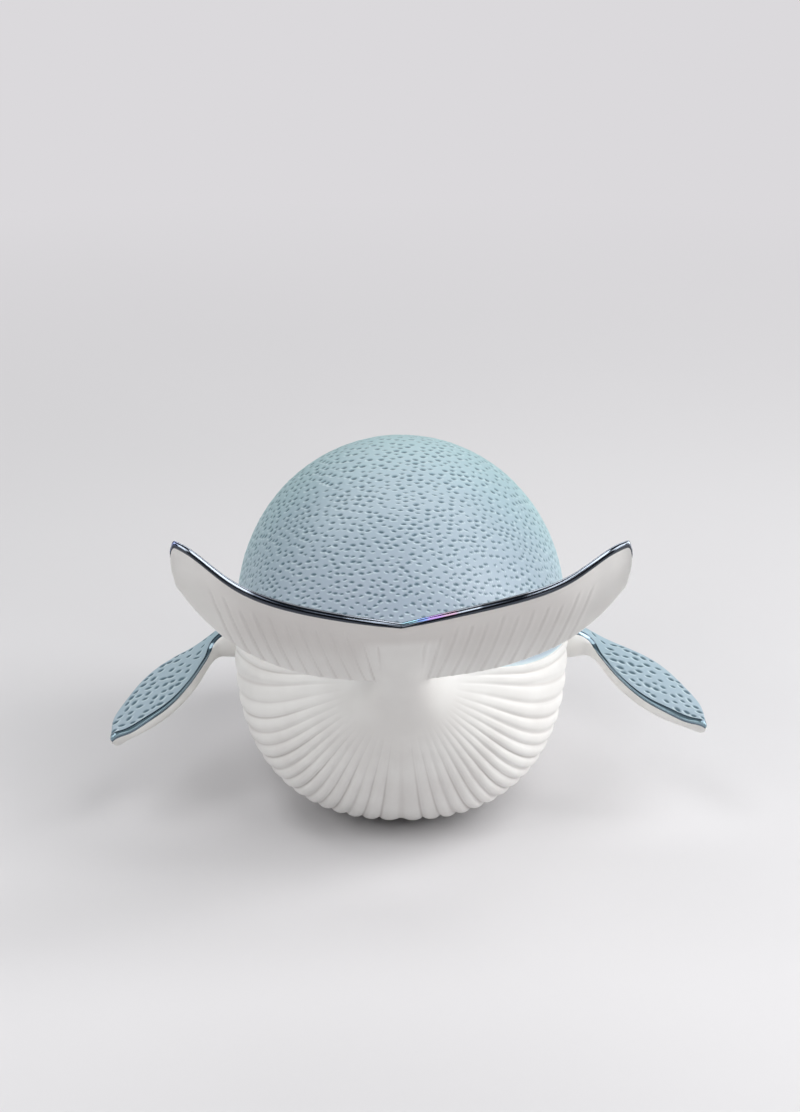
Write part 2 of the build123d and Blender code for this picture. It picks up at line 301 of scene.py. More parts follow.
body = {
    "length": 187 * mm,
    "width": 124 * mm,
    "height": 126 * mm,
    "origin": 0.455,             # the foot's middle, along the body
    "keelFullness": 0.84,        # 1 would be an ellipse below the axis
    "lineLift": 1.5,             # degrees that the painted colour line lies above the shells' seam
    # place along the body, axis height, rise, drop, half width, rib depth, and in degrees the lean and
    # the colour line
    "stations": [
        (0.000, 0.462, 0.024, 0.022, 0.022, 0.00, 0, -8.0),
        (0.013, 0.468, 0.143, 0.135, 0.137, 0.00, 0, -6.0),
        (0.053, 0.476, 0.282, 0.262, 0.278, 0.30, 0, -5.0),
        (0.123, 0.488, 0.393, 0.385, 0.391, 0.80, 0, -4.0),
        (0.230, 0.496, 0.478, 0.484, 0.479, 1.00, 0, -4.0),
        (0.369, 0.496, 0.498, 0.512, 0.508, 1.00, 0, -3.0),
        (0.513, 0.488, 0.490, 0.502, 0.498, 1.00, 0, -0.5),
        (0.652, 0.488, 0.460, 0.484, 0.480, 1.00, 0, 4.5),
        (0.759, 0.496, 0.403, 0.433, 0.430, 0.95, 3, 7.5),
        (0.840, 0.516, 0.325, 0.337, 0.345, 0.88, 8, 9.5),
        (0.898, 0.552, 0.226, 0.210, 0.230, 0.26, 18, 11.0),
        (0.933, 0.587, 0.150, 0.133, 0.150, 0.00, 29, 9.0),
        (0.963, 0.627, 0.105, 0.092, 0.101, 0.00, 38, 7.0),
        (1.000, 0.690, 0.078, 0.072, 0.072, 0.00, 46, 5.0),
    ],
    # where the stock runs on in the fluke: distance, half width, rise and drop, in the stock's half
    # widths, and lean
    "neck": [(1.0, 1.00, 0.60, 0.74, 49), (2.0, 0.90, 0.05, 0.24, 51)],
    "ribCount": 34,
    "ribHeight": 1.25 * mm,
    "flankRibs": (0.78, 0.25),   # height of the ribs at the colour line over the keel's, and how far
                                 # round that reaches
    "ribRoundness": 2.5,         # 2 is an arc, more has flatter backs and steeper valleys
    "ribLap": 0.30,              # the top rib starts this share of a rib above the colour line
    "valleyShade": (0.40, 0.9),        # how far up a rib the painted shade in its valley reaches, and how grey it is
    "vent": (13 * mm, 3.5 * mm, 4 * mm),    # the kiln vent in the foot: place along Y, radius, depth
    "ventLip": (0.2 * mm, 0.3 * mm),        # where its wall starts outside that radius and ends inside it
    "footSkin": 1 * mm,          # what lies lower than this counts as the foot
    "ledge": 2.0 * mm,           # how far the belly turns in behind the back
    "backLap": 3.0,              # degrees that the back runs on behind the top rib
    "wiped": (4.5 * mm, 2.0 * mm),          # how near the colour line the stain is wiped thin
    "wipedFrom": (-45 * mm, -15 * mm),      # from where on
    "rows": 340,
    "bellyColumns": 290,
    "backColumns": 288,
}
stations = np.array(body["stations"])
lean = np.radians(stations[:, 6])
centres = np.zeros((len(stations), 3))
centres[:, 1] = (stations[:, 0] - body["origin"]) * body["length"]
centres[:, 2] = stations[:, 1] * body["height"]
rise, drop = stations[:, 2] * body["height"], stations[:, 3] * body["height"]
halfWidth = stations[:, 4] * body["width"]
stockEnd, stockHalfWidth = centres[-1].copy(), halfWidth[-1]
stockAxis = np.array([0, math.cos(lean[-1]), math.sin(lean[-1])])
for distance, wide, up, down, tilt in body["neck"]:
    centres = np.vstack([centres, stockEnd + stockAxis * distance * stockHalfWidth])
    rise, drop = np.append(rise, up * stockHalfWidth), np.append(drop, down * stockHalfWidth)
    halfWidth = np.append(halfWidth, wide * stockHalfWidth)
    lean = np.append(lean, math.radians(tilt))
lineAngle = np.append(stations[:, 7], [stations[-1, 7]] * len(body["neck"])) + body["lineLift"]
lift = np.stack([0 * lean, -np.sin(lean), np.cos(lean)], 1)
endOfStock = len(stations) - 1


def bodySections(angles):
    # the smooth body on every station, at one row of angles each
    side, up = np.cos(np.radians(angles)), np.sin(np.radians(angles))
    full = body["keelFullness"]
    across = np.where(up >= 0, side, np.sign(side) * np.abs(side) ** full) * halfWidth[:, None]
    high = np.where(up >= 0, up * rise[:, None], -np.abs(up) ** full * drop[:, None])
    return centres[:, None] + across[..., None] * [1, 0, 0] + high[..., None] * lift[:, None]


allRound = np.tile(np.arange(0, 360, 7.5), (len(lean), 1))
bodyKnots = ringKnots(bodySections(allRound))
bodyRows = np.linspace(0, bodyKnots[endOfStock], body["rows"])
rowCentres = smoothThrough(bodyKnots, centres, bodyRows)[:, None]


def ribProfile(phase):
    # round-backed ribs that meet in narrow valleys
    return 1 - np.abs(2 * (phase % 1) - 1) ** body["ribRoundness"]


def makeBelly():
    share = np.linspace(0, 1, body["bellyColumns"])
    width = 180 + 2 * lineAngle[:, None]
    grid = smoothThrough(bodyKnots, bodySections(lineAngle[:, None] - share * width), bodyRows)
    depth = smoothThrough(bodyKnots[:endOfStock + 1], stations[:, 5], bodyRows)
    depth = np.clip(depth, 0, 1)[:, None] * body["ribHeight"]
    low, flank = body["flankRibs"]
    depth = depth * (low + (1 - low) * smoothStep(0, flank, np.minimum(share, 1 - share)))
    lap = body["ribLap"]
    phase = (lap / body["ribCount"] + share) * body["ribCount"] / (1 + 2 * lap / body["ribCount"])
    grid = grid + gridNormals(grid, rowCentres) * (depth * ribProfile(phase))[..., None]
    grid[..., 2] = np.maximum(grid[..., 2], 0)
    # painted shade in the rib valleys, greyer where the ribs stand higher
    valley, grey = body["valleyShade"]
    valleyShade = depth / body["ribHeight"] * smoothStep(valley, 0.0, ribProfile(phase)) * grey
    ventAt, ventRadius, ventDepth = body["vent"]
    outside, inside = body["ventLip"]
    fromVent = np.hypot(grid[..., 0], grid[..., 1] - ventAt)
    vent = smoothStep(ventRadius + outside, ventRadius - inside, fromVent)
    vent = vent * (grid[..., 2] < body["footSkin"])
    grid[..., 2] += ventDepth * vent
    # the vent's hole gets the same painted shade
    valleyShade = np.maximum(valleyShade, vent)
    inward = unit(rowCentres - grid[:, [-1, 0]])
    ledge = grid[:, [-1, 0]] + inward * np.minimum(body["ledge"], 0.5 * halfWidth[0])
    points, faces = loftedShell(np.concatenate([grid, ledge], 1))
    unpainted = np.full(len(points), -maskReach)
    valleyShade = np.append(np.concatenate([valleyShade, 0 * ledge[..., 0]], 1), [0, 0])
    return makePiece("belly_ribbed", points, faces, {"stain": unpainted, "pit": valleyShade, "metal": unpainted},
                     bisqueAndStain, "belly_shell", slot="belly_white")


# Pits pressed by hand

pits = {
    # on the back: place along Y, half length, half width and spacing
    "back": [(-90 * mm, 1.30 * mm, 1.10 * mm, 3.2 * mm), (10 * mm, 1.30 * mm, 1.05 * mm, 3.1 * mm),
             (45 * mm, 1.25 * mm, 0.80 * mm, 2.55 * mm), (75 * mm, 1.05 * mm, 0.58 * mm, 2.1 * mm),
             (110 * mm, 1.0 * mm, 0.56 * mm, 2.1 * mm)],
    # on the fluke and the fins: half length, half width and spacing
    "fluke": (1.4 * mm, 0.9 * mm, 3.6 * mm),
    "fin": (1.60 * mm, 0.82 * mm, 2.75 * mm),
    "depth": 0.5,                # over the half width
    "lip": 0.09,                 # clay that rose round it, over the same
    "lipPlace": (1.25, 0.25),    # where that lip lies from the middle, and its width, in pit radii
    "steepness": 1.1,            # of the wall: 1 is a bowl, more is flatter near the lip
    "slant": 0.45,               # how much deeper it is on the side towards the crown
    "reach": 2.2,                # how far off a pit is felt, in half lengths
    "uneven": 0.15,              # how far sizes differ
    "deepness": (0.8, 1.15),     # and depths
    "turned": 0.18,              # radians that one lies askew of its neighbours
    "flankTurn": 1.7,            # how strongly those on the flanks lie along the body
    "upWay": np.array([0, -0.6, 0.8]),      # towards the crown, where the tool pushed the clay
    "margin": 5.0 * mm,          # between the back's pits and the colour line
    "backEnd": 0.975,            # how far along the body they go
}


def scatter(points, spacing, seed):
    # points taken in random order and kept where no kept one is nearer than the spacing
    order = np.random.default_rng(seed).permutation(len(points))
    kept = np.empty((0, 3))
    chosen = []
    for k in order:
        if len(kept) == 0 or np.min(np.sum((kept - points[k]) ** 2, 1)) > spacing[k] ** 2:
            chosen.append(k)
            kept = np.vstack([kept, points[k]])
    return np.array(chosen)


def pressPits(points, normals, chosen, longWay, halfLength, halfWidth, seed):
    # how far each point sinks, and its pit mask: above 0 in a pit (stain run in, with painted shade), below 0
    # on its lower lip (a painted highlight)
    rng = np.random.default_rng(seed)
    order = np.argsort(points[:, 1])
    ordered = points[order]
    sink, mask = np.zeros(len(points)), np.zeros(len(points))
    for k in chosen:
        scale = 1 + pits["uneven"] * rng.uniform(-1.6, 1)
        longest, widest = halfLength[k] * scale, halfWidth[k] * scale
        turn = rng.normal(0, pits["turned"])
        across = np.cross(normals[k], longWay[k])
        first = longWay[k] * math.cos(turn) + across * math.sin(turn)
        second = across * math.cos(turn) - longWay[k] * math.sin(turn)
        second = second * (1 if second @ pits["upWay"] > 0 else -1)
        reach = pits["reach"] * longest
        low, high = np.searchsorted(ordered[:, 1], points[k, 1] + np.array([-reach, reach]))
        near = order[low:high]
        offset = points[near] - points[k]
        u, v = offset @ first / longest, offset @ second / widest
        far = np.sqrt(u ** 2 + v ** 2 + (offset @ normals[k] / (2 * longest)) ** 2)
        bowl = np.clip(1 - far ** 2, 0, 1) ** pits["steepness"] * (1 + pits["slant"] * np.clip(v, -1, 1))
        depth = pits["depth"] * widest * rng.uniform(*pits["deepness"])
        lipAt, lipWidth = pits["lipPlace"]
        sink[near] += depth * bowl - pits["lip"] * widest * np.exp(-((far - lipAt) / lipWidth) ** 2)
        # dark: stain that ran into the pit, with painted shade heavier on the side towards the crown
        dark = np.clip(1.15 - far ** 2, 0, 1) * smoothStep(-0.9, 0.1, v)
        # pale: a painted highlight on the lower lip
        pale = np.exp(-((far - 1.0) / 0.4) ** 2) * smoothStep(-0.2, -0.8, v)
        mask[near] = np.where(dark > 0.05, np.maximum(mask[near], dark), mask[near] - pale)
    return sink, np.clip(mask, -1, 1)


def makeBack():
    share = np.linspace(0, 1, body["backColumns"])
    start = (lineAngle - body["backLap"])[:, None]
    grid = smoothThrough(bodyKnots, bodySections(start + share * (180 - 2 * start)), bodyRows)
    normals = gridNormals(grid, rowCentres)
    toTail, toCrown = unit(np.gradient(grid, axis=0)), unit(np.gradient(grid, axis=1))
    toCrown[:, share > 0.5] *= -1
    longWay = toCrown + pits["flankTurn"] * np.abs(normals[..., :1]) * toTail
    longWay = unit(longWay - normals * np.sum(normals * longWay, -1, keepdims=True))
    halfRound = np.linalg.norm(np.diff(grid, axis=1), axis=-1).sum(1)[:, None]
    fromLine = np.minimum(share, 1 - share) * halfRound
    place = bodyRows[:, None] / bodyKnots[endOfStock] + 0 * share
    free = ((fromLine > pits["margin"]) & (place < pits["backEnd"])).ravel()
    points, flatNormals = grid.reshape(-1, 3), normals.reshape(-1, 3)
    rows = np.array(pits["back"])
    halfLength, halfWidth, spacing = (np.interp(points[:, 1], rows[:, 0], rows[:, k]) for k in (1, 2, 3))
    candidates = np.flatnonzero(free)[::2]
    chosen = candidates[scatter(points[candidates], spacing[candidates], seed=4)]
    sink, mask = pressPits(points, flatNormals, chosen, longWay.reshape(-1, 3), halfLength, halfWidth, seed=5)
    points = points - flatNormals * sink[:, None]
    points, faces = loftedShell(points.reshape(grid.shape))
    wiped = smoothStep(*body["wiped"], fromLine.ravel()) * smoothStep(*body["wipedFrom"], points[:-2, 1])
    mask = np.append(np.where(wiped > 0, -wiped, mask), [0, 0])
    painted = np.full(len(points), maskReach)
    masks = {"stain": painted, "pit": mask, "metal": -painted}
    print("back:", len(chosen), "pits")
    return makePiece("back_dimpled", points, faces, masks, bisqueAndStain, "back_shell", slot="back_blue")


makeBelly()
makeBack()
print("body made")


# Tail fluke

fluke = {
    "span": 153 * mm,
    "root": 8 * mm,              # thickness at the leading edge, and at the rim
    "rim": 3 * mm,
    # place from the middle to the tip, leading edge back and up, rim back and up, root and rim
    # thickness, from the end of the stock, in half spans
    "stations": [
        (0.000, 0.016, -0.110, 0.410, 0.310, 1.00, 1.0),
        (0.080, 0.017, -0.108, 0.424, 0.332, 0.97, 1.0),
        (0.250, 0.027, -0.087, 0.426, 0.369, 0.82, 1.0),
        (0.415, 0.046, -0.050, 0.418, 0.405, 0.72, 1.0),
        (0.580, 0.074, 0.018, 0.400, 0.448, 0.66, 1.0),
        (0.750, 0.113, 0.128, 0.366, 0.522, 0.60, 1.0),
        (0.855, 0.143, 0.234, 0.326, 0.592, 0.55, 1.0),
        (0.925, 0.164, 0.326, 0.300, 0.637, 0.48, 0.9),
        (0.970, 0.176, 0.395, 0.279, 0.655, 0.40, 0.7),
        (0.990, 0.188, 0.450, 0.264, 0.640, 0.33, 0.6),
        (1.000, 0.204, 0.520, 0.240, 0.600, 0.28, 0.5),
    ],
    "sag": 0.016,                # how far the left half hangs lower midway and the right one higher
    "hollowing": 0.05,           # how deep the underside is hollowed, over the chord
    "fillet": 2.6 * mm,          # how widely the stock runs into the blade
    "swell": (-0.08 * mm, 0.08 * mm),       # how far inside the body it starts and outside it ends
    "voxel": 0.50 * mm,
    "halfRows": 150,
    "tipStart": 0.995,           # where the tip's rounding sets in
    "tipFullness": 0.8,          # 1 would round it as an ellipse
    "grooves": 13,               # on each half
    "firstGroove": 0.039,        # place of the first, and from one to the next, in half spans
    "groovePitch": 0.0665,
    # from the middle to the tip: how far the grooves sweep towards the middle on their way down to
    # the leading edge, and how high on the chord they start
    "grooveSweep": [(0.05, 0.0, 0.45), (0.10, 0.030, 0.58), (0.17, 0.065, 0.70), (0.24, 0.095, 0.78),
                    (0.50, 0.102, 0.78), (0.64, 0.110, 0.72), (0.75, 0.115, 0.66), (1.0, 0.12, 0.66)],
    "sweepFrom": 0.78,           # from where on the chord they sweep, and how sharply: 1 is straight
    "sweepBend": 1.8,
    "grooveEnds": 0.04,          # how far their upper ends stagger, over the chord
    "grooveWidth": 0.42 * mm,
    "grooveDepth": 0.28 * mm,
    "grooveShade": 0.5,          # how grey the painted shade in them is
    "pillow": 0.22 * mm,         # how high the clay stands beside each
    "pillowPlace": (1.0 * mm, 0.7 * mm),    # how far from the groove, and how widely
    "lighterHand": 0.7,          # how deep the right half's grooves are, over the left's
    "hollowShade": 0.55,         # painted shade: how much greyer the underside's hollow is coloured
    # the lustre line from the middle to the tip: how far it runs onto the top, and how far round the
    # rim's edge and on below, both from the top's edge
    "lustre": [(0.0, 1.2 * mm, 3.4 * mm), (0.10, 0.9 * mm, 4.0 * mm), (0.22, 0.2 * mm, 4.4 * mm),
               (0.50, 0.2 * mm, 5.0 * mm), (0.62, 1.2 * mm, 5.2 * mm), (0.93, 2.0 * mm, 5.0 * mm),
               (1.0, 2.0 * mm, 4.0 * mm)],
    "stainFrom": 0.52,           # how high on the blade's edge the stain starts, over the thickness
    "tipLine": (0.80, 0.90),     # where a thin line sets in on the tips' leading edge
    "tipLineReach": 0.80,        # how steep the edge is where it ends: 1 is flat
    "pitMargin": 4 * mm,
    "pitEnd": 0.93,
}
flukeStations = np.array(fluke["stations"])
halfSpan = fluke["span"] / 2


def flukeAt(signedPlace):
    # leading edge, chord direction and length, and both thicknesses
    place = np.abs(signedPlace)
    values = smoothThrough(flukeStations[:, 0], flukeStations[:, 1:], place)
    up = values[:, 1] - np.sign(signedPlace) * fluke["sag"] * np.sin(math.pi * place)
    lead = stockEnd + np.stack([signedPlace, values[:, 0], up], 1) * halfSpan
    chord = np.stack([0 * place, values[:, 2] - values[:, 0], values[:, 3] - values[:, 1]], 1) * halfSpan
    length = np.linalg.norm(chord, axis=1)
    return lead, unit(chord), length, values[:, 4] * fluke["root"], values[:, 5] * fluke["rim"]


def hollowAt(share):
    # the underside's hollowing across the chord
    return smoothThrough([0, 0.05, 0.35, 0.70, 0.97, 1], [0, 0.1, 1, 0.9, 0.1, 0], share)


def bladeRings():
    # round-edged sections from tip to tip, and shrinking ones beyond each tip
    place = fluke["tipStart"] * np.sin(np.linspace(0, math.pi / 2, fluke["halfRows"]))
    place = np.concatenate([-place[:0:-1], place])
    lead, chordWay, length, root, rim = flukeAt(place)
    turn = np.linspace(-math.pi / 2, math.pi / 2, 25)
    flat = np.linspace(0, 1, 60)
    rings = []
    for k, (front, back) in enumerate(zip(root / 2, rim / 2)):
        run = front + flat * (length[k] - front - back)
        thick = root[k] + (rim[k] - root[k]) * run / length[k]
        hollow = hollowAt(run / length[k]) * fluke["hollowing"] * length[k]
        rimArc = [length[k] - back + back * np.cos(turn), back + back * np.sin(turn)]
        leadArc = [front - front * np.cos(turn), front - front * np.sin(turn)]
        rimArc[1] = rimArc[1] + hollow[-1] + (thick[-1] - 2 * back) / 2
        leadArc[1] = leadArc[1] + hollow[0] + (thick[0] - 2 * front) / 2
        along = np.concatenate([run[1:-1], rimArc[0], run[-2:0:-1], leadArc[0]])
        high = np.concatenate([hollow[1:-1], rimArc[1], (hollow + thick)[-2:0:-1], leadArc[1]])
        upWay = np.cross([1, 0, 0], chordWay[k])
        rings.append(lead[k] + along[:, None] * chordWay[k] + high[:, None] * upWay)
    rings = np.array(rings)
    caps = {}
    for end, side in ((0, -1), (-1, 1)):
        middle = rings[end].mean(0)
        tip = flukeAt(np.array([side * 1.0]))
        tip = tip[0][0] + tip[1][0] * tip[2][0] / 2
        falls = np.linspace(0, math.pi / 2, 12)[1:-1]
        caps[end] = [middle + (tip - middle) * math.sin(t)
                     + (rings[end] - middle) * math.cos(t) ** fluke["tipFullness"] for t in falls]
    return np.concatenate([caps[0][::-1], rings, caps[-1]])


def stockRings():
    # the end of the stock and its run into the blade
    angles = np.tile(np.linspace(0, 360, 97)[:-1], (len(lean), 1))
    sections = bodySections(angles)
    rows = np.linspace(bodyKnots[endOfStock - 2] + 2 * mm, bodyKnots[-1], 70)
    rings = smoothThrough(bodyKnots, sections, rows)
    middles = smoothThrough(bodyKnots, centres, rows)
    start, end = fluke["swell"]
    swell = start + (end - start) * smoothStep(bodyKnots[endOfStock - 2], bodyKnots[endOfStock], rows)
    outward = unit(rings - middles[:, None])
    ups = unit(smoothThrough(bodyKnots, lift, rows))
    return rings + outward * swell[:, None, None], middles, ups


def signedDistance(tree, points):
    result = np.empty(len(points))
    for k, point in enumerate(points):
        near, normal, _, distance = tree.find_nearest(point)
        # straight below a face is inside, and past a sharp edge isn't
        result[k] = -distance if (Vector(point) - near).dot(normal) < -0.9 * distance else distance
    return result


def solidTree(rings):
    points, faces = loftedShell(rings)
    mesh, shell = bpy.data.meshes.new("helper"), bmesh.new()
    mesh.from_pydata(points.tolist(), [], faces)
    shell.from_mesh(mesh)
    bmesh.ops.recalc_face_normals(shell, faces=shell.faces)
    tree = BVHTree.FromBMesh(shell)
    shell.free()
    bpy.data.meshes.remove(mesh)
    return tree, points, faces


def remeshed(points, faces, voxel):
    mesh = bpy.data.meshes.new("helper")
    mesh.from_pydata(points.tolist(), [], faces)
    helper = bpy.data.objects.new("helper", mesh)
    bpy.context.scene.collection.objects.link(helper)
    remesh = helper.modifiers.new("remesh", "REMESH")
    remesh.mode, remesh.voxel_size = "VOXEL", voxel
    evaluated = helper.evaluated_get(bpy.context.evaluated_depsgraph_get()).to_mesh()
    newPoints = np.empty(len(evaluated.vertices) * 3)
    evaluated.vertices.foreach_get("co", newPoints)
    newFaces = np.array([polygon.vertices[:] for polygon in evaluated.polygons if len(polygon.vertices) == 4])
    helper.to_mesh_clear()
    bpy.data.objects.remove(helper)
    bpy.data.meshes.remove(mesh)
    return newPoints.reshape(-1, 3), newFaces


def smoothUnion(first, second, width):
    overlap = np.maximum(width - np.abs(first - second), 0) / width
    return np.minimum(first, second) - overlap ** 2 * width / 4


def makeFluke():
    bladeTree, bladePoints, bladeFaces = solidTree(bladeRings())
    stockShell, middles, ups = stockRings()
    stockTree, stockPoints, stockFaces = solidTree(stockShell)
    shifted = [[v + len(bladePoints) for v in face] for face in stockFaces]
    points, faces = remeshed(np.concatenate([bladePoints, stockPoints]), bladeFaces + shifted, fluke["voxel"])
    for _ in range(3):
        toBlade, toStock = signedDistance(bladeTree, points), signedDistance(stockTree, points)
        points = points - meshNormals(points, faces) * smoothUnion(toBlade, toStock, fluke["fillet"])[:, None]
    normals = meshNormals(points, faces)
    print("fluke meshed:", len(points), "points")

    # where each point lies on the blade
    signedPlace = np.clip(points[:, 0] / halfSpan, -1, 1)
    place = np.abs(signedPlace)
    lead, chordWay, length, root, rim = flukeAt(signedPlace)
    along = np.sum((points - lead) * chordWay, 1)
    high = np.sum((points - lead) * np.cross([1, 0, 0], chordWay), 1)
    share = np.clip(along / length, 0, 1)
    thick = root + (rim - root) * share
    height = (high - hollowAt(share) * fluke["hollowing"] * length) / thick
    onStock = smoothStep(-1.5 * mm, 1.5 * mm, toBlade - toStock)

    # fine grooves fan out under the blade and fade before the rim
    rows = np.array(fluke["grooveSweep"])
    bend = np.clip(1 - share / fluke["sweepFrom"], 0, 1) ** fluke["sweepBend"]
    start = place.copy()
    for _ in range(6):
        start = place + np.interp(start, rows[:, 0], rows[:, 1]) * bend
    phase = (start - fluke["firstGroove"]) / fluke["groovePitch"]
    index = np.clip(np.round(phase), 0, fluke["grooves"] - 1)
    outside = (phase - index) * fluke["groovePitch"] * halfSpan
    ends = np.interp(start, rows[:, 0], rows[:, 2]) + fluke["grooveEnds"] * np.sin(index * 2.4)
    under = smoothStep(0.35, 0.15, height) * (1 - onStock) * smoothStep(0.90, 0.82, start)
    fade = under * smoothStep(0.0, 0.06, share) * smoothStep(ends, ends - 0.12, share)
    groove = np.exp(-(outside / fluke["grooveWidth"]) ** 2)
    pillowAt, pillowWidth = fluke["pillowPlace"]
    raised = np.exp(-((outside - pillowAt) / pillowWidth) ** 2)
    fade = fade * np.where(signedPlace < 0, fluke["lighterHand"], 1.0)
    cut = (groove * fluke["grooveDepth"] - raised * fluke["pillow"]) * fade
    points = points - normals * cut[:, None]

    # pits on the blue upper side, and painted shade in the grooves and the hollow below
    fromRim = length - along
    free = (np.minimum(along, fromRim) > fluke["pitMargin"]) & (place < fluke["pitEnd"])
    candidates = np.flatnonzero(free & (height > 0.85) & (onStock < 0.2))
    halfLength, halfWidth, spacing = (np.full(len(points), value) for value in pits["fluke"])
    chosen = candidates[scatter(points[candidates], spacing[candidates], seed=11)]
    sideways = np.tile([1.0, 0, 0], (len(points), 1))
    longWay = unit(sideways - normals * np.sum(sideways * normals, 1, keepdims=True))
    sink, pitted = pressPits(points, normals, chosen, longWay, halfLength, halfWidth, seed=12)
    onTop = smoothStep(0.4, 0.7, height)
    points = points - normals * (sink * onTop)[:, None]
    # painted shade in the underside's hollow, faded out near the stock and towards the tips
    shade = fluke["hollowShade"] * smoothStep(0.35, 0.15, height) * smoothStep(0.0, 0.5, share)
    shade = shade * smoothStep(0.5 * mm, 9 * mm, toStock) * smoothStep(1.0, 0.6, place)
    # the mask adds painted shade in the grooves and the hollow to that of the pits
    pitted = pitted * onTop + np.maximum(groove * fade * fluke["grooveShade"], shade)

    # paint: stain above the edge or the colour line, lustre along the rim and round the tips
    nearest = np.argmin(np.abs(np.einsum("ijk,jk->ij", points[:, None] - middles,
                                         np.cross([1.0, 0, 0], ups))), 1)
    fromAxis = points - middles[nearest]
    stockAngle = np.degrees(np.arctan2(np.sum(fromAxis * ups[nearest], 1), np.abs(points[:, 0])))
    bladeStain = (height - fluke["stainFrom"]) * thick
    stockStain = np.radians(stockAngle - stations[-1, 7]) * stockHalfWidth
    stain = bladeStain * (1 - onStock) + stockStain * onStock
    rows = np.array(fluke["lustre"])
    onto, around = (np.interp(place, rows[:, 0], rows[:, k]) for k in (1, 2))
    back = rim / 2
    past, above = back - fromRim, (height - 0.5) * thick
    walked = np.where(past > 0, back * (math.pi / 2 - np.arctan2(above, past)),
                      np.where(above > 0, past, math.pi * back - past))
    metal = np.minimum(walked + onto, around - walked)
    upWay = np.cross([1, 0, 0], chordWay)
    reach = fluke["tipLineReach"] * smoothStep(*fluke["tipLine"], place)
    tipLine = (reach - np.abs(np.sum(normals * upWay, 1))) * root / 2
    metal = np.maximum(metal, np.where((place > fluke["tipLine"][0]) & (height > 0.2), tipLine, -1))
    metal = np.where(onStock > 0.5, -maskReach * mm, metal)
    masks = {"stain": stain / mm, "pit": pitted, "metal": metal / mm}

    # the true normals of the round edge, which the lustre would mirror unevenly from the mesh alone
    ahead, behind = (flukeAt(np.clip(signedPlace + step, -1, 1)) for step in (0.004, -0.004))
    rimWay = unit(ahead[0] + ahead[1] * ahead[2][:, None] - behind[0] - behind[1] * behind[2][:, None])
    edgeNormals = np.maximum(past, 0)[:, None] * chordWay + above[:, None] * upWay
    edgeNormals = unit(edgeNormals - rimWay * np.sum(edgeNormals * rimWay, 1, keepdims=True))
    onTopSide, onUnderside = smoothStep(-onto - 1 * mm, -onto, past), smoothStep(0, 0.4 * mm, past)
    onEdge = np.where(above > 0, onTopSide, onUnderside) * smoothStep(0.975, 0.96, place)
    normals = unit(meshNormals(points, faces) * (1 - onEdge)[:, None] + edgeNormals * onEdge[:, None])
    return makePiece("fluke_grooved", points, faces, masks, bisqueAndStain, "tail_fluke", slot="fluke_white",
                     normals=normals)


makeFluke()
print("fluke made")


# Pectoral fins

fin = {
    "length": 69 * mm,
    "thickness": 7 * mm,
    "neck": 13 * mm,             # its diameter
    "root": (0.476, 0.500, 0.470),          # its place in body lengths, widths and heights
    "neckReach": 0.25,           # how far the round neck stands out and how far below the root it
    "neckDrop": 0.27,            # lies, over its diameter, and how far it goes in
    "neckInside": 3.2 * mm,
    # place, front edge, rear edge, in fin lengths, and thickness
    "leaf": [
        (0.180, -0.098, 0.004, 1.02),
        (0.340, -0.113, 0.070, 1.06),
        (0.500, -0.119, 0.132, 1.01),
        (0.650, -0.088, 0.163, 0.96),
        (0.790, -0.036, 0.162, 0.92),
        (0.910, 0.029, 0.148, 0.79),
        (0.985, 0.106, 0.128, 0.60),
    ],
    # round a section from the rim over the top to the front and back below: place along the chord,
    # and height in thicknesses
    "section": [(1.00, -0.10), (0.94, 0.03), (0.50, 0.08), (0.05, 0.01), (0.00, -0.20), (0.20, -0.72),
                (0.58, -0.98), (0.96, -0.80), (1.05, -0.44)],
    "tip": (0.6, 0.7 * mm),      # the rounding at the end: how much narrower, and how much further out
    "rows": 190,
    "columns": 180,
    "pitMargin": (3.1 * mm, 3.0 * mm),      # from the pits to the rim's line and to the front edge
    "pitted": (0.16, 0.965),     # from where to where along the fin
    # from the neck to the tip: width of the lustre line on top of the rim and below it
    "lustre": [(0.0, 1.1 * mm, 1.2 * mm), (0.22, 1.2 * mm, 0.8 * mm), (0.35, 1.3 * mm, 0.5 * mm),
               (0.6, 1.6 * mm, 0.5 * mm), (0.85, 2.2 * mm, 0.7 * mm), (1.0, 2.2 * mm, 0.9 * mm)],
    "lineRise": 5.5 * mm,        # how far up round the neck the line has climbed where it meets the body
}


def closedCurve(corners, count):
    # a smooth closed curve through the corners, by repeating them past both ends
    around = len(corners)
    padded = np.concatenate([corners[-3:], corners, corners[:4]])
    return smoothThrough(np.arange(-3, around + 4), padded, np.arange(count) * around / count)


